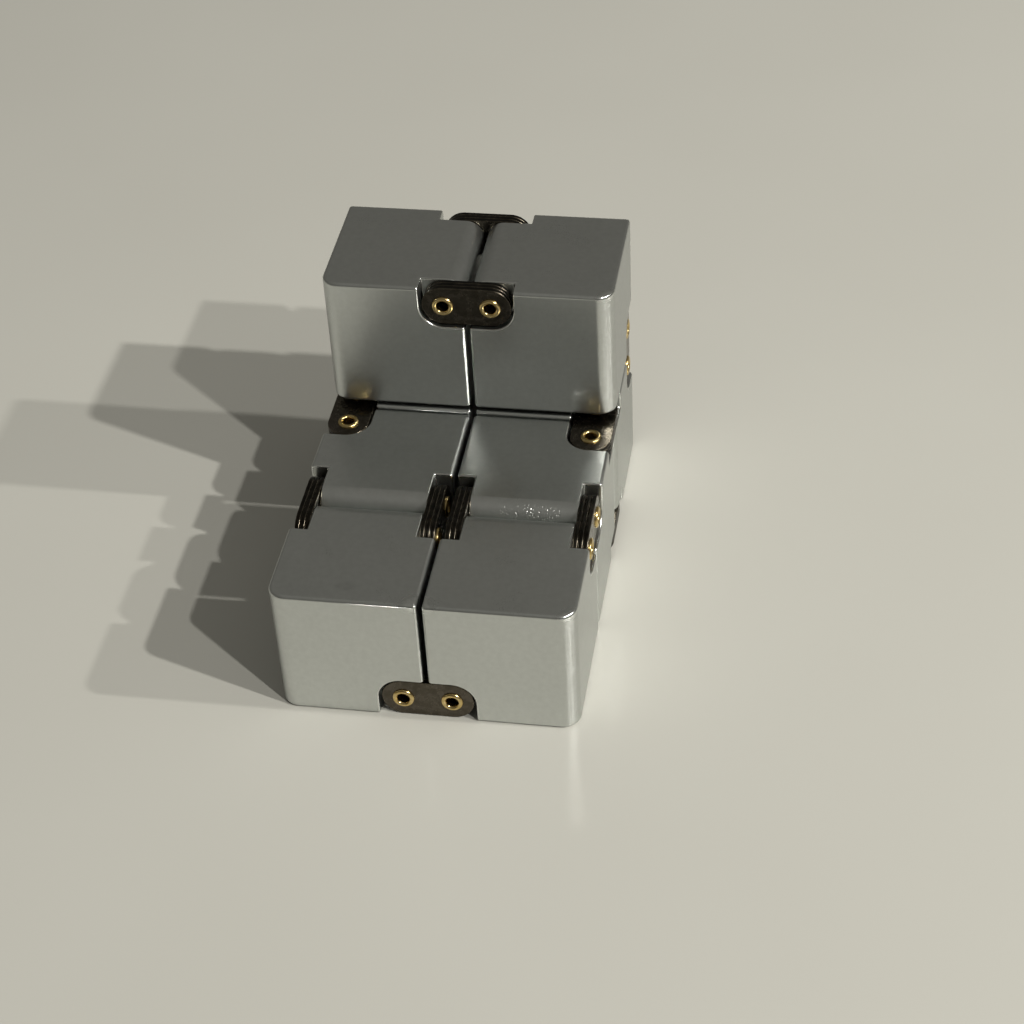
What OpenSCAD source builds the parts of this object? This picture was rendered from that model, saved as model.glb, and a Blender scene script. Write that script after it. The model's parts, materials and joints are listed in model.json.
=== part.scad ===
// Folding fidget cube: eight hollow cubes joined in a closed ring by eight double-pivot hinges.
// Origin: middle of the footprint, on the surface it stands on. X to the right, Y to the back, Z up.
// Four cubes stand in two columns on the floor, two more lie in front of them and two on top at the back.

/* [Cubes] */
// Distance between the middles of two cubes that face each other
cell_pitch = 20; // [19:0.5:24]
// Gap that stays between two facing cubes
cube_gap = 0.6; // [0.55:0.05:0.8]
// Radius of the three edges of a cube that can carry a hinge
hinge_edge_r = 2.4; // [2.3:0.05:2.6]
// Radius of the nine other edges
soft_edge_r = 0.5; // [0.3:0.1:0.8]
// Wall of a hollow cube
wall = 1.4; // [1.2:0.05:1.45]

/* [Cap plates] */
// Thickness of the plate that closes a cube
cap_t = 1.2; // [0.8:0.1:1.2]
// Metal left around the plate on its three plain sides
cap_rim = 0.9; // [0.7:0.1:1]
// Metal left between the plate and the hinge edge
cap_hinge_rim = 2.6; // [2.6:0.1:3]
// Corner radius of the plate
cap_corner_r = 1.5; // [0.8:0.1:2]
// Seam around the plate
cap_seam = 0.04; // [0.02:0.01:0.08]

/* [Links] */
// Distance of a hinge pin from the two faces beside its edge
pin_inset = 2.9; // [2.8:0.05:2.95]
// Radius of a link's round ends
link_end_r = 2.85; // [2.6:0.05:2.85]
// Number of plates stacked in a link
plate_count = 3; // [2:1:4]
// Thickness of one plate
plate_t = 0.62; // [0.4:0.02:0.66]
// Seam between two plates
plate_seam = 0.07; // [0.02:0.01:0.1]
// How far a link's outer plate lies below the cube's face
link_recess = 0.4; // [0.4:0.05:0.6]

/* [Pockets] */
// Room between a link's round end and its pocket
pocket_room = 0.35; // [0.2:0.05:0.4]
// Running gap between a link and the pocket's floor
floor_gap = 0.05; // [0.02:0.01:0.1]
// Thickness of the metal around a pocket, inside the cube
pocket_wall = 1.3; // [1:0.1:1.4]

/* [Rivets] */
// Radius of the hole through a rivet
rivet_hole_r = 0.8; // [0.6:0.05:0.85]
// Radius of a rivet's tube
rivet_tube_r = 1; // [0.95:0.05:1.1]
// Radius of a rivet's head
rivet_head_r = 1.45; // [1.3:0.05:1.5]
// Radius of the rolled end inside the cube
rivet_tail_r = 1.3; // [1.2:0.05:1.35]
// Clearance of the tube in its plates
plate_hole_fit = 0.02; // [0.01:0.01:0.03]
// Running clearance of the tube in the cube's wall and in its washer
running_fit = 0.05; // [0.03:0.01:0.08]
// Radius of a washer
washer_r = 1.4; // [1.3:0.05:1.4]
// Thickness of a washer
washer_t = 0.2; // [0.15:0.05:0.3]

/* [Hidden] */
$fn = 64;

// Colours
SATIN_ALUMINIUM = [0.66, 0.66, 0.65];
BLACKENED_STEEL = [0.13, 0.12, 0.11];
BRASS = [0.80, 0.62, 0.30];
BRIGHT_STEEL = [0.72, 0.72, 0.74];

// Sizes that follow from the driving ones
cube_size = cell_pitch - cube_gap;
half = cube_size / 2;
pin_pitch = 2 * pin_inset + cube_gap;
plate_step = plate_t + plate_seam;
link_t = plate_count * plate_step - plate_seam;
pocket_depth = link_recess + link_t + floor_gap;
pocket_r = link_end_r + pocket_room;
floor_depth = pocket_depth + pocket_wall;
washer_top = link_t + floor_gap + pocket_wall + running_fit;
tube_l = washer_top + washer_t;
outer_x = cell_pitch / 2 + half;
// Overshoot of every cut past the face that it opens
past = 1;

// A cube is a base cube or its mirror image. The base cube's three hinge edges are skew to each other:
// number 0 is upright at -X -Y, number 1 runs along Y at +X -Z, number 2 along X at +Y +Z.
// Each cube uses two of them, and its cap plate closes a face beside one of those two.
// [name, row along Y, level, [mirrored in X, Y, Z] on the left, hinge edges, cap's edge, cap on its -Y side]
CUBES = [
    ["front", -1, 0, [0, 0, 0], [1, 2], 1, 0],
    ["middle", 0, 0, [0, 1, 0], [2, 0], 2, 0],
    ["rear", 1, 0, [0, 0, 0], [0, 2], 0, 1],
    ["top", 1, 1, [0, 0, 1], [2, 1], 2, 1],
];

// Heights and depths of the hinges
low_z = pin_inset;
shelf_z = cube_size - pin_inset;
level_z = cube_size + cube_gap / 2;
crest_z = cell_pitch + cube_size - pin_inset;
back_y = cell_pitch + half - pin_inset;

// A hinge has a link at each end of its edge. [hinge, end, middle of the link's outer plane, way out, way along]
FRONT_LINKS = [
    ["front_hinge", "front", [0, link_recess - cell_pitch - half, low_z], [0, -1, 0], [1, 0, 0]],
    ["front_hinge", "rear", [0, half - cell_pitch - link_recess, low_z], [0, 1, 0], [1, 0, 0]],
];
TOP_LINKS = [
    ["top_hinge", "front", [0, cell_pitch - half + link_recess, crest_z], [0, -1, 0], [1, 0, 0]],
    ["top_hinge", "rear", [0, cell_pitch + half - link_recess, crest_z], [0, 1, 0], [1, 0, 0]],
];
// These stand on the left, and their mirror images on the right
SIDE_LINKS = [
    ["fold", "outer", [link_recess - outer_x, -cell_pitch / 2, shelf_z], [-1, 0, 0], [0, 1, 0]],
    ["fold", "inner", [-cube_gap / 2 - link_recess, -cell_pitch / 2, shelf_z], [1, 0, 0], [0, 1, 0]],
    ["side", "upper", [pin_inset - outer_x, cell_pitch / 2, cube_size - link_recess], [0, 0, 1], [0, 1, 0]],
    ["side", "lower", [pin_inset - outer_x, cell_pitch / 2, link_recess], [0, 0, -1], [0, 1, 0]],
    ["back", "outer", [link_recess - outer_x, back_y, level_z], [-1, 0, 0], [0, 0, 1]],
    ["back", "inner", [-cube_gap / 2 - link_recess, back_y, level_z], [1, 0, 0], [0, 0, 1]],
];

SIDES = ["left", "right"];
function mirrored(side) = side == "left" ? [0, 0, 0] : [1, 0, 0];

// Every link with its full hinge name and its mirroring: [hinge, end, place, way out, way along, mirroring]
LINKS = [
    for (link = concat(FRONT_LINKS, TOP_LINKS)) [for (value = link) value, [0, 0, 0]],
    for (side = SIDES, link = SIDE_LINKS) [str(side, "_", link[0]), for (i = [1:4]) link[i], mirrored(side)],
];
HINGES = [for (i = [0:2:len(LINKS) - 1]) LINKS[i][0]];

function cube_name(side, cube) = str(side, "_", cube[0], "_cube");
function cap_name(side, cube) = str(side, "_", cube[0], "_cap");
function link_name(link) = str(link[0], "_", link[1], "_link");
function rivets_name(link) = str(link[0], "_", link[1], "_rivets");
function washers_name(hinge) = str(hinge, "_washers");

// ---- Placing ----

// Mirrors its children in each plane whose entry is 1
module reflected(planes) {
    mirror([planes[0], 0, 0])
        mirror([0, planes[1], 0])
            mirror([0, 0, planes[2]])
                children();
}

// Puts the base cube's frame where a cube of the ring stands
module at_cube(side, cube) {
    mirror(mirrored(side))
        translate([-cell_pitch / 2, cube[1] * cell_pitch, half + cube[2] * cell_pitch])
            reflected(cube[3])
                children();
}

// Turns its children from the base cube's hinge edge number 0 to the one asked for
module at_edge(edge) {
    rotate(a = 120 * edge, v = [1, -1, 1])
        children();
}

// Turns its children from edge 0's -X face to the cap's face
module at_cap(cube) {
    at_edge(cube[5])
        mirror([cube[6], -cube[6], 0])
            children();
}

// Puts a link's frame in place: X along the link, Z out of the cube's face, 0 in its outer plane
module at_link(link) {
    place = link[2];
    out = link[3];
    along = link[4];
    across = cross(out, along);
    mirror(link[5])
        multmatrix([for (i = [0:2]) [along[i], across[i], out[i], place[i]]])
            children();
}

module at_both_pins() {
    for (x = [-1, 1])
        translate([x * pin_pitch / 2, 0, 0])
            children();
}

// ---- Cubes ----

// Square with four rounded corners
module rounded_square(size, r) {
    square([size, size - 2 * r], center = true);
    square([size - 2 * r, size], center = true);
    for (x = [-1, 1], y = [-1, 1])
        translate([x, y] * (size / 2 - r))
            circle(r);
}

module soft_prism() {
    linear_extrude(cube_size, center = true)
        rounded_square(cube_size, soft_edge_r);
}

// Quarter column that fills hinge edge 0, with its large radius and softened ends
module hinge_edge_column() {
    axis = hinge_edge_r - half;
    translate([axis, axis, -half])
        rotate([0, 0, 180])
            rotate_extrude(angle = 90) {
                square([hinge_edge_r - soft_edge_r, cube_size]);
                translate([0, soft_edge_r])
                    square([hinge_edge_r, cube_size - 2 * soft_edge_r]);
                for (y = [soft_edge_r, cube_size - soft_edge_r])
                    translate([hinge_edge_r - soft_edge_r, y])
                        circle(soft_edge_r);
            }
}

// Solid cube with three large and nine small edge radii
module cube_blank() {
    difference() {
        intersection() {
            soft_prism();
            rotate([90, 0, 0])
                soft_prism();
            rotate([0, 90, 0])
                soft_prism();
        }
        for (edge = [0:2])
            at_edge(edge)
                translate([-half - past, -half - past, -half - past])
                    cube([hinge_edge_r + past, hinge_edge_r + past, cube_size + 2 * past]);
    }
    for (edge = [0:2])
        at_edge(edge)
            hinge_edge_column();
}

// Places its children at both ends of a hinge edge, Z out of the end face, 0 on that face, on the pin's axis
module at_edge_ends(edge) {
    at_edge(edge)
        for (flip = [0, 1])
            mirror([0, 0, flip])
                translate([pin_inset - half, pin_inset - half, half])
                    children();
}

// Room of a link at a cube's corner, open to both faces beside it and rounded about the pin
module pocket(r, depth) {
    reach = pin_inset + past;
    translate([0, 0, -depth])
        linear_extrude(depth + past) {
            circle(r);
            translate([-reach, -reach])
                square([reach + r, reach]);
            translate([-reach, -reach])
                square([reach, reach + r]);
        }
}

module pocket_housings(edge) {
    at_edge_ends(edge)
        pocket(pocket_r + pocket_wall, floor_depth);
}

// Plate on edge 0's -X face, notched around the housings of that edge's two pockets
module cap_plate(grow, depth) {
    size = cube_size - 2 * cap_rim + 2 * grow;
    hinge_side = cap_hinge_rim - grow - half;
    difference() {
        translate([-half - (depth - cap_t), 0, 0])
            rotate([90, 0, 90])
                linear_extrude(depth)
                    intersection() {
                        rounded_square(size, cap_corner_r + grow);
                        translate([hinge_side, -half])
                            square([cube_size, cube_size]);
                    }
        at_edge_ends(0)
            pocket(pocket_r + pocket_wall - grow, floor_depth - grow);
    }
}

// Hollow cube: shell, four link pockets with their own walls, four rivet bores and the cap's opening
module cube_shell(cube) {
    color(SATIN_ALUMINIUM)
        difference() {
            cube_blank();
            difference() {
                cube(cube_size - 2 * wall, center = true);
                for (edge = cube[4])
                    pocket_housings(edge);
            }
            at_cap(cube)
                cap_plate(cap_seam, cap_t + past);
            for (edge = cube[4])
                at_edge_ends(edge) {
                    pocket(pocket_r, pocket_depth);
                    translate([0, 0, -floor_depth - past])
                        cylinder(r = rivet_tube_r + running_fit, h = floor_depth);
                }
        }
}

module cube_cap(cube) {
    color(SATIN_ALUMINIUM)
        at_cap(cube)
            cap_plate(0, cap_t);
}

// ---- Hinges ----

// Stack of equal oblong plates with a hole at each end
module link_plates() {
    color(BLACKENED_STEEL)
        for (i = [1:plate_count])
            translate([0, 0, (i - plate_count) * plate_step - plate_t])
                linear_extrude(plate_t)
                    difference() {
                        union() {
                            square([pin_pitch, 2 * link_end_r], center = true);
                            at_both_pins()
                                circle(link_end_r);
                        }
                        at_both_pins()
                            circle(rivet_tube_r + plate_hole_fit);
                    }
}

// Half outline of a rolled rim: a half disc from the rivet's hole out to a radius
module rolled_rim(outer_r) {
    roll_r = (outer_r - rivet_hole_r) / 2;
    intersection() {
        translate([rivet_hole_r + roll_r, 0])
            circle(roll_r);
        translate([rivet_hole_r, 0])
            square([2 * roll_r, roll_r]);
    }
}

// Hollow rivet: a rolled head outside, a tube through plates and wall, and a rolled tail inside
module hollow_rivet() {
    rotate_extrude() {
        rolled_rim(rivet_head_r);
        translate([rivet_hole_r, -tube_l])
            square([rivet_tube_r - rivet_hole_r, tube_l]);
        translate([0, -tube_l])
            mirror([0, 1])
                rolled_rim(rivet_tail_r);
    }
}

module rivet_pair() {
    color(BRASS)
        at_both_pins()
            hollow_rivet();
}

module washer_pair() {
    color(BRIGHT_STEEL)
        at_both_pins()
            translate([0, 0, -tube_l])
                linear_extrude(washer_t)
                    difference() {
                        circle(washer_r);
                        circle(rivet_tube_r + running_fit);
                    }
}

// ---- Assembly ----

for (side = SIDES, cube = CUBES) {
    at_cube(side, cube) cube_shell(cube);
    at_cube(side, cube) cube_cap(cube);
}
for (link = LINKS) {
    at_link(link) link_plates();
    at_link(link) rivet_pair();
    at_link(link) washer_pair();
}
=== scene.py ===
"""Looks of the folding fidget cube: finished metal surfaces, a pale table, three lamps and the camera."""

import json
import math

import bmesh
import bpy
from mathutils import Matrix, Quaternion, Vector
from mathutils.bvhtree import BVHTree


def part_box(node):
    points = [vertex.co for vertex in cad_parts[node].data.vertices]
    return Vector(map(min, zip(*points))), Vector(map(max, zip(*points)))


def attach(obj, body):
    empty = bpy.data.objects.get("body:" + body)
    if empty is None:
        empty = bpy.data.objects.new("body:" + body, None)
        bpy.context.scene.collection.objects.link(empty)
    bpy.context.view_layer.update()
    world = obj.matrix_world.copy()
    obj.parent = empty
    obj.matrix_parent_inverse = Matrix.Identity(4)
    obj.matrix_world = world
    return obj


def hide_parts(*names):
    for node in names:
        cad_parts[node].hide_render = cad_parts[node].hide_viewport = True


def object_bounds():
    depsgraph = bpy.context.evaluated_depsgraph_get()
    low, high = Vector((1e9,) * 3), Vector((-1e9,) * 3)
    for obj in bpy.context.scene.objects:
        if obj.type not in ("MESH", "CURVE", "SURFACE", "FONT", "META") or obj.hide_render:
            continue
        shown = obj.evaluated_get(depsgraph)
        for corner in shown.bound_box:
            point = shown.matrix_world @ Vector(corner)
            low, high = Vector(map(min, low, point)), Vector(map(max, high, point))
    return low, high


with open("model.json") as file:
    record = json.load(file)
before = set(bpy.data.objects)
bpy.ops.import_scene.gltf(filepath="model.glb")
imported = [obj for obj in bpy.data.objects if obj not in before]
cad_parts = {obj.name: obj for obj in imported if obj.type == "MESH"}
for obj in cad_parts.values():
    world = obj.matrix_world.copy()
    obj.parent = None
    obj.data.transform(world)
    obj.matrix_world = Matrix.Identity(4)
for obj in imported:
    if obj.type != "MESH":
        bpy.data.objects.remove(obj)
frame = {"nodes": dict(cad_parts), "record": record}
CAD_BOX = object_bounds()
NODES = frame["nodes"]
BODIES = frame["record"]["behaviour"]["bodies"]
BODY_OF = {node: body for body, members in BODIES.items() for node in members}
MM = 0.001

# Edge breaks: how far each sharp edge of a part is rounded off
CUBE_EDGE_BREAK = 0.22 * MM
CAP_EDGE_BREAK = 0.05 * MM
PLATE_EDGE_BREAK = 0.09 * MM
SHARP_ANGLE = math.radians(32)
FLAT_ANGLE = math.radians(0.4)
WELD_DISTANCE = 0.0005 * MM
# An edge of a cube is on the opening for its cap when it is this near to the cap
SEAM_REACH = 0.07 * MM
# A plate's face is part of its rim when its normal has less than this share along the plate's thickness
RIM_SHARE = 0.5

# A piece's materials, in the order of its slots
FACES, EDGES, RIM = range(3)

# Marks of use: corners rubbed smooth and given a painted highlight that brightens their colour, a run of
# tiny dents along one rounded edge, and a smudge
RUBBED_AND_HIGHLIT_CORNERS = ["right_front_cube", "right_top_cube", "left_front_cube"]
RUB_AND_HIGHLIGHT_REACH = Vector((2.6, 2.6, 1.2)) * MM
DENT_RUN_NODE = "right_middle_cube"
DENT_RUN_PLACE = Vector((0.9, 0.5, -0.95)) * MM
DENT_RUN_REACH = Vector((5.0, 1.3, 1.3)) * MM
SMUDGE_NODE = "left_front_cube"
SMUDGE_FROM_FRONT = 2.8 * MM
SMUDGE_REACH = Vector((1.7, 1.0, 1.0)) * MM
POLISHED_ROUGHNESS = 0.14
# How far the painted highlight on the rubbed corners and the grease move the metal's shade, which runs
# from 0, dark, to 1, bright
PAINTED_HIGHLIGHT_SHADE = 0.5
SMUDGED_SHADE = 0.35

# The cubes' metal: its roughness, and how its shade from 0 to 1 changes its tone
SATIN_ROUGHNESS = 0.30
SHADES = [(0.0, 0.86), (0.3, 0.955), (0.7, 1.045), (1.0, 1.3)]
# What anodised metal seen edge-on keeps of its reflection
GRAZING_TINT = (0.8, 0.8, 0.8, 1.0)

# The view: the way the camera looks, where it aims relative to the middle of the object, and its lens
VIEW_AZIMUTH = 11.2
VIEW_ELEVATION = 40.0
VIEW_ROLL = -3.36
VIEW_DISTANCE = 292.3 * MM
VIEW_AIM = Vector((8.8, -10.7, 0.0)) * MM
SENSOR_WIDTH = 36.0
LENS = 79.2

# Three small ceiling lamps on the right: (azimuth from +X towards +Y, elevation, watts)
LAMPS = [(-40.5, 42.4, 7.8), (-20.5, 41.2, 11.3), (0.0, 36.3, 7.0)]
LAMP_DISTANCE = 1.4
LAMP_DIAMETER = 0.031
LAMP_COLOUR = (1.0, 0.97, 0.91)

# The room: its brightness in a direction is a base, plus the direction's product with a slope
ROOM_COLOUR = (1.0, 0.965, 0.86, 1.0)
ROOM_BASE = 0.098
ROOM_SLOPE = (0.0, 0.012, 0.068)

# The table: half its width, and the strength of its sheen
TABLE_REACH = 3.0
TABLE_GLOSS = 0.2

# A broad soft fill from overhead that only matt surfaces show
FILL_SIZE = 3.0
FILL_HEIGHT = 2.0
FILL_WATTS = 4.0


# ---- Node materials ----

class Shader:
    """A new material's node tree, with short calls for the nodes that the finishes share."""

    def __init__(self, name):
        self.material = bpy.data.materials.new(name)
        self.material.use_nodes = True
        self.tree = self.material.node_tree
        self.surface = self.tree.nodes["Principled BSDF"]
        self.coordinates = self.add("ShaderNodeTexCoord").outputs["Object"]

    def add(self, kind, **settings):
        node = self.tree.nodes.new(kind)
        for key, value in settings.items():
            setattr(node, key, value)
        return node

    def link(self, source, target):
        self.tree.links.new(source, target)

    def noise(self, size, detail=2.0):
        """Noise whose grains are about size metres across."""
        node = self.add("ShaderNodeTexNoise")
        node.inputs["Scale"].default_value = 1.0 / size
        node.inputs["Detail"].default_value = detail
        self.link(self.coordinates, node.inputs["Vector"])
        return node.outputs["Fac"]

    def near(self, centre, reach):
        """1 round a point of the object and 0 beyond reach, which has a length for each axis."""
        away = self.add("ShaderNodeVectorMath", operation="SUBTRACT")
        self.link(self.coordinates, away.inputs[0])
        away.inputs[1].default_value = centre
        share = self.add("ShaderNodeVectorMath", operation="DIVIDE")
        self.link(away.outputs["Vector"], share.inputs[0])
        share.inputs[1].default_value = reach
        size = self.add("ShaderNodeVectorMath", operation="LENGTH")
        self.link(share.outputs["Vector"], size.inputs[0])
        return self.spread(size.outputs["Value"], 1.0, 0.0, start=0.5, end=1.0)

    def any_near(self, marks):
        """1 at any of the marks, which are (centre, reach) pairs, and 0 away from all of them."""
        total = 0.0
        for centre, reach in marks:
            total = self.combine("MAXIMUM", total, self.near(centre, reach))
        return total

    def specks(self, spacing, radius, share):
        """0 inside small round specks and 1 elsewhere: a share of cells spacing apart holds one each.

        radius is a speck's radius as a share of spacing.
        """
        cells = self.add("ShaderNodeTexVoronoi")
        cells.inputs["Scale"].default_value = 1.0 / spacing
        self.link(self.coordinates, cells.inputs["Vector"])
        pick = self.add("ShaderNodeSeparateColor")
        self.link(cells.outputs["Color"], pick.inputs["Color"])
        left_out = self.combine("GREATER_THAN", pick.outputs["Red"], share)
        outside = self.spread(cells.outputs["Distance"], 0.0, 1.0, start=radius / 2, end=radius)
        return self.combine("MAXIMUM", outside, left_out)

    def spread(self, value, low, high, start=0.3, end=0.7):
        """value taken from the range start..end to the range low..high."""
        node = self.add("ShaderNodeMapRange")
        for name, number in (("From Min", start), ("From Max", end), ("To Min", low), ("To Max", high)):
            node.inputs[name].default_value = number
        self.link(value, node.inputs["Value"])
        return node.outputs["Result"]

    def combine(self, operation, first, second):
        node = self.add("ShaderNodeMath", operation=operation)
        for socket, value in zip(node.inputs, (first, second)):
            if isinstance(value, (int, float)):
                socket.default_value = value
            else:
                self.link(value, socket)
        return node.outputs["Value"]

    def tints(self, value, colours):
        """A colour ramp through (position, (r, g, b)) stops."""
        node = self.add("ShaderNodeValToRGB")
        stops = node.color_ramp.elements
        while len(stops) < len(colours):
            stops.new(0.5)
        for stop, (position, colour) in zip(stops, colours):
            stop.position = position
            stop.color = (*colour, 1.0)
        self.link(value, node.inputs["Fac"])
        return node.outputs["Color"]

    def bump(self, height, depth, under=None):
        """A bump of depth metres, on top of another bump's normal if one is given."""
        node = self.add("ShaderNodeBump")
        node.inputs["Distance"].default_value = depth
        self.link(height, node.inputs["Height"])
        if under is not None:
            self.link(under, node.inputs["Normal"])
        return node.outputs["Normal"]

    def finish(self, colour, roughness, normal, metallic=1.0):
        self.link(colour, self.surface.inputs["Base Color"])
        self.link(roughness, self.surface.inputs["Roughness"])
        self.link(normal, self.surface.inputs["Normal"])
        self.surface.inputs["Metallic"].default_value = metallic
        return self.material


def satin_aluminium(name, tone, roughness, rubbed_and_highlit=(), dented=(), smudged=()):
    """Fine-blasted anodised aluminium: grain, soft clouds, a few small dents, and the marks of use, with
    a painted highlight on the rubbed corners.

    The rubbed corners with their painted highlight, the dents and the smudges are each given as a list of
    (centre, reach).
    """
    shader = Shader(name)
    clouds = shader.noise(7 * MM, detail=3.0)
    blasting = shader.noise(0.8 * MM, detail=4.0)
    grain = shader.noise(0.09 * MM, detail=2.0)
    polish_and_highlight = shader.any_near(rubbed_and_highlit)
    grease = shader.any_near(smudged)

    shade = shader.combine("ADD", shader.spread(clouds, 0.45, 0.55), shader.spread(blasting, -0.15, 0.15))
    # Painted highlight: the rubbed corners' colour is pushed up the ramp, brighter than the metal around
    # them.
    shade = shader.combine("ADD", shade, shader.combine("MULTIPLY", polish_and_highlight, PAINTED_HIGHLIGHT_SHADE))
    shade = shader.combine("SUBTRACT", shade, shader.combine("MULTIPLY", grease, SMUDGED_SHADE))
    colour = shader.tints(shade, [(place, [c * share for c in tone]) for place, share in SHADES])

    wear = shader.spread(clouds, roughness - 0.01, roughness + 0.01)
    sheen = shader.combine("ADD", wear, shader.spread(grain, -0.02, 0.02))
    smoothing = shader.combine("MULTIPLY", polish_and_highlight, roughness - POLISHED_ROUGHNESS)
    sheen = shader.combine("SUBTRACT", sheen, smoothing)

    dents = shader.bump(shader.specks(spacing=1.3 * MM, radius=0.1, share=0.08), 0.012 * MM)
    if dented:
        untouched = shader.combine("SUBTRACT", 1.0, shader.any_near(dented))
        close_dents = shader.specks(spacing=0.32 * MM, radius=0.42, share=0.8)
        run = shader.combine("MAXIMUM", close_dents, untouched)
        dents = shader.bump(run, 0.026 * MM, under=dents)
    shader.surface.inputs["Specular Tint"].default_value = GRAZING_TINT
    return shader.finish(colour, sheen, shader.bump(grain, 0.001 * MM, under=dents))


def blackened_steel(name, dark, light, gloss=0.0):
    """Oiled black oxide on steel plate: brown-black and mottled, with a fine grain."""
    shader = Shader(name)
    mottle = shader.noise(0.9 * MM, detail=4.0)
    grain = shader.noise(0.07 * MM, detail=2.0)
    colour = shader.tints(mottle, [(0.35, dark), (0.65, light)])
    roughness = shader.spread(mottle, 0.22 - gloss, 0.3 - gloss)
    return shader.finish(colour, roughness, shader.bump(grain, 0.0006 * MM))


def rolled_brass():
    """Bright rolled brass with a little tarnish."""
    shader = Shader("rolled_brass")
    tarnish = shader.noise(0.6 * MM, detail=3.0)
    grain = shader.noise(0.05 * MM, detail=2.0)
    colour = shader.tints(tarnish, [(0.3, (0.58, 0.42, 0.155)), (0.7, (0.74, 0.58, 0.295))])
    return shader.finish(colour, shader.spread(tarnish, 0.24, 0.16), shader.bump(grain, 0.0005 * MM))


def bright_steel():
    """Plain stamped steel washers."""
    shader = Shader("bright_steel")
    grain = shader.noise(0.08 * MM, detail=2.0)
    colour = shader.tints(grain, [(0.3, (0.5, 0.5, 0.51)), (0.7, (0.62, 0.62, 0.63))])
    return shader.finish(colour, shader.spread(grain, 0.28, 0.4), shader.bump(grain, 0.002 * MM))


def pale_table():
    """Smooth pale laminate with a soft sheen."""
    shader = Shader("pale_table")
    clouds = shader.noise(60 * MM, detail=2.0)
    grain = shader.noise(0.5 * MM, detail=2.0)
    colour = shader.tints(clouds, [(0.3, (0.485, 0.483, 0.445)), (0.7, (0.499, 0.498, 0.46))])
    roughness = shader.spread(clouds, 0.16, 0.19)
    shader.surface.inputs["Specular IOR Level"].default_value = TABLE_GLOSS
    return shader.finish(colour, roughness, shader.bump(grain, 0.002 * MM), metallic=0.0)


# ---- Pieces ----

def finish_piece(node, finishes, width, cap=None):
    """Makes the piece that stands for a CAD node: its shape, with the sharp edges rounded off by width.

    finishes are the materials of its faces, its rounded edges and, on a plate, its rim.
    """
    mesh = NODES[node].data.copy()
    mesh.materials.clear()
    for finish in finishes:
        mesh.materials.append(finish)
    work = bmesh.new()
    work.from_mesh(mesh)
    bmesh.ops.remove_doubles(work, verts=work.verts, dist=WELD_DISTANCE)
    bmesh.ops.dissolve_limit(work, angle_limit=FLAT_ANGLE, verts=work.verts, edges=work.edges)
    thin_side = thinnest_side(node)
    for face in work.faces:
        on_rim = len(finishes) > RIM and abs(face.normal[thin_side]) < RIM_SHARE
        face.material_index = RIM if on_rim else FACES
    break_edges(work, width, cap)
    for face in work.faces:
        face.smooth = True
    work.to_mesh(mesh)
    work.free()
    if "custom_normal" in mesh.attributes:
        mesh.attributes.remove(mesh.attributes["custom_normal"])
    piece = bpy.data.objects.new(f"{node}_finished", mesh)
    bpy.context.scene.collection.objects.link(piece)
    weighted = piece.modifiers.new("flat faces stay flat", "WEIGHTED_NORMAL")
    weighted.keep_sharp = True
    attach(piece, BODY_OF[node])
    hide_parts(node)


def break_edges(work, width, cap):
    """Rounds off a mesh's sharp edges by width, but by the cap's own width around the cap's opening."""
    sharp = [e for e in work.edges if e.is_manifold and e.calc_face_angle() > SHARP_ANGLE]
    opening = []
    if cap:
        cap_surface = surface_of(cap)
        opening = [e for e in sharp if beside(e, cap_surface)]
    round_off(work, [e for e in sharp if e not in opening], width)
    round_off(work, [e for e in opening if e.is_valid], CAP_EDGE_BREAK)


def round_off(work, edges, width):
    bmesh.ops.bevel(work, geom=edges, material=EDGES, offset=width, offset_type="OFFSET", segments=2,
                    profile=0.5, affect="EDGES", clamp_overlap=False)


def surface_of(node):
    """A tree for measuring distances to a CAD node's surface."""
    mesh = NODES[node].data
    return BVHTree.FromPolygons([v.co for v in mesh.vertices], [tuple(p.vertices) for p in mesh.polygons])


def beside(edge, surface):
    """Whether both ends of an edge are right next to a surface."""
    return all(surface.find_nearest(vert.co, SEAM_REACH)[0] is not None for vert in edge.verts)


def thinnest_side(node):
    """The axis, 0 to 2, along which a node is thinnest."""
    low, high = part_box(node)
    sides = list(high - low)
    return sides.index(min(sides))


def dress(node, material):
    """Gives a CAD node that keeps its shape its finish."""
    mesh = NODES[node].data
    mesh.materials.clear()
    mesh.materials.append(material)


def marks_of_use():
    """Where the cubes are rubbed smooth with a painted highlight, dented and smudged: three lists of
    (centre, reach).
    """
    rubbed_and_highlit = []
    for node in RUBBED_AND_HIGHLIT_CORNERS:
        low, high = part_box(node)
        rubbed_and_highlit.append((Vector((high.x, low.y, high.z)), RUB_AND_HIGHLIGHT_REACH))
    low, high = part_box(DENT_RUN_NODE)
    run = Vector(((low.x + high.x) / 2, low.y, high.z)) + DENT_RUN_PLACE
    low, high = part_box(SMUDGE_NODE)
    smudge = Vector(((low.x + high.x) / 2, low.y + SMUDGE_FROM_FRONT, high.z))
    return rubbed_and_highlit, [(run, DENT_RUN_REACH)], [(smudge, SMUDGE_REACH)]


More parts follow.
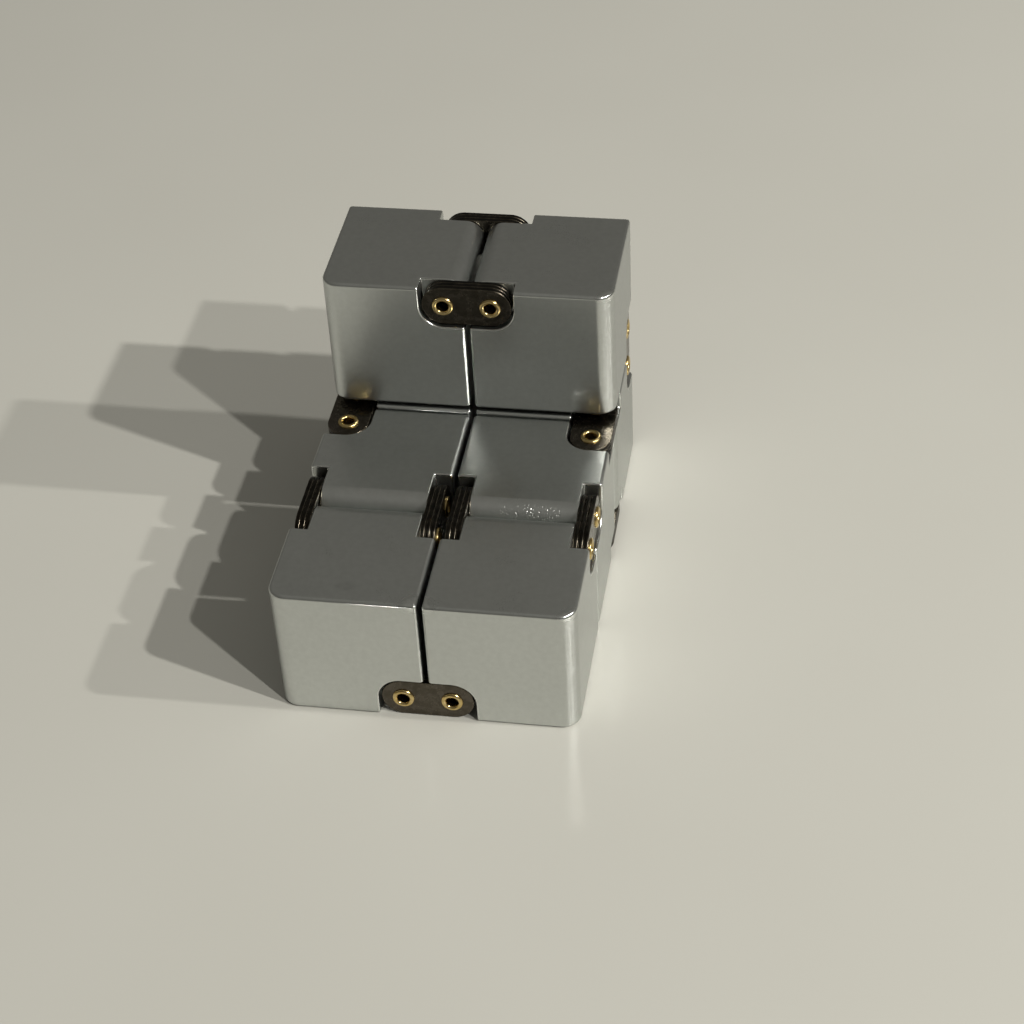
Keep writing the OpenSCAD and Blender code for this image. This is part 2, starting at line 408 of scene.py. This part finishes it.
rubbed_and_highlit, dented, smudged = marks_of_use()
cube_finish = satin_aluminium("satin_aluminium", (0.60, 0.618, 0.602), SATIN_ROUGHNESS,
                              rubbed_and_highlit, dented, smudged)
cap_finish = satin_aluminium("satin_cap", (0.58, 0.597, 0.582), SATIN_ROUGHNESS)
# The cubes' rounded-off edges: smoother metal with a painted highlight, a brighter tone than the faces'.
polished_edge_highlight_finish = satin_aluminium("edge_with_painted_highlight", (0.72, 0.74, 0.72), 0.2)
plate_finish = blackened_steel("blackened_steel", (0.078, 0.068, 0.052), (0.115, 0.101, 0.082))
plate_edge_finish = blackened_steel("worn_plate_edge", (0.08, 0.07, 0.054), (0.15, 0.13, 0.1))
plate_rim_finish = blackened_steel("black_plate_rim", (0.012, 0.011, 0.009), (0.03, 0.026, 0.02), -0.12)
rivet_finish = rolled_brass()
washer_finish = bright_steel()
for node in sorted(NODES):
    if node.endswith("_cube"):
        finish_piece(node, [cube_finish, polished_edge_highlight_finish], CUBE_EDGE_BREAK, cap=node.replace("_cube", "_cap"))
    elif node.endswith("_cap"):
        finish_piece(node, [cap_finish, cap_finish], CAP_EDGE_BREAK)
    elif node.endswith("_link"):
        finish_piece(node, [plate_finish, plate_edge_finish, plate_rim_finish], PLATE_EDGE_BREAK)
    elif node.endswith("_rivets"):
        dress(node, rivet_finish)
    else:
        dress(node, washer_finish)


# ---- Stage ----

def direction(azimuth, elevation):
    """Unit vector at an azimuth from +X towards +Y and an elevation, both in degrees."""
    a = math.radians(azimuth)
    e = math.radians(elevation)
    return Vector((math.cos(a) * math.cos(e), math.sin(a) * math.cos(e), math.sin(e)))


def table_top():
    mesh = bpy.data.meshes.new("table_top")
    corners = [(x * TABLE_REACH, y * TABLE_REACH, 0.0) for x, y in ((-1, -1), (1, -1), (1, 1), (-1, 1))]
    mesh.from_pydata(corners, [], [(0, 1, 2, 3)])
    mesh.materials.append(pale_table())
    table = bpy.data.objects.new("table_top", mesh)
    bpy.context.scene.collection.objects.link(table)


def lamps():
    for number, (azimuth, elevation, watts) in enumerate(LAMPS, start=1):
        data = bpy.data.lights.new(f"lamp_{number}", "AREA")
        data.shape = "DISK"
        data.size = LAMP_DIAMETER
        data.energy = watts
        data.color = LAMP_COLOUR
        lamp = bpy.data.objects.new(f"lamp_{number}", data)
        towards = direction(azimuth, elevation)
        lamp.location = towards * LAMP_DISTANCE
        lamp.rotation_mode = "QUATERNION"
        lamp.rotation_quaternion = towards.to_track_quat("Z", "Y")
        bpy.context.scene.collection.objects.link(lamp)


def room_light():
    """The dim room around the table, a little brighter overhead."""
    world = bpy.data.worlds.new("room")
    world.use_nodes = True
    tree = world.node_tree
    background = tree.nodes["Background"]
    background.inputs["Color"].default_value = ROOM_COLOUR
    way = tree.nodes.new("ShaderNodeTexCoord")
    share = tree.nodes.new("ShaderNodeVectorMath")
    share.operation = "DOT_PRODUCT"
    share.inputs[1].default_value = ROOM_SLOPE
    total = tree.nodes.new("ShaderNodeMath")
    total.operation = "ADD"
    total.inputs[1].default_value = ROOM_BASE
    strength = tree.nodes.new("ShaderNodeMath")
    strength.operation = "MAXIMUM"
    strength.inputs[1].default_value = 0.0
    tree.links.new(way.outputs["Generated"], share.inputs[0])
    tree.links.new(share.outputs["Value"], total.inputs[0])
    tree.links.new(total.outputs["Value"], strength.inputs[0])
    tree.links.new(strength.outputs["Value"], background.inputs["Strength"])
    bpy.context.scene.world = world


def soft_fill():
    data = bpy.data.lights.new("soft_fill", "AREA")
    data.size = FILL_SIZE
    data.energy = FILL_WATTS
    data.color = LAMP_COLOUR
    fill = bpy.data.objects.new("soft_fill", data)
    fill.location = (0.0, 0.0, FILL_HEIGHT)
    fill.visible_glossy = False
    bpy.context.scene.collection.objects.link(fill)


def camera():
    low, high = CAD_BOX
    aim = (low + high) / 2 + VIEW_AIM
    back = direction(VIEW_AZIMUTH - 90.0, VIEW_ELEVATION)
    data = bpy.data.cameras.new("camera")
    data.sensor_width = SENSOR_WIDTH
    data.lens = LENS
    data.clip_start = 0.01
    data.clip_end = 20.0
    cam = bpy.data.objects.new("camera", data)
    bpy.context.scene.collection.objects.link(cam)
    cam.location = aim + back * VIEW_DISTANCE
    cam.rotation_mode = "QUATERNION"
    roll = Quaternion((0.0, 0.0, 1.0), math.radians(VIEW_ROLL))
    cam.rotation_quaternion = (-back).to_track_quat("-Z", "Y") @ roll
    bpy.context.scene.camera = cam


table_top()
lamps()
room_light()
soft_fill()
camera()
bpy.context.scene.view_settings.view_transform = "Standard"
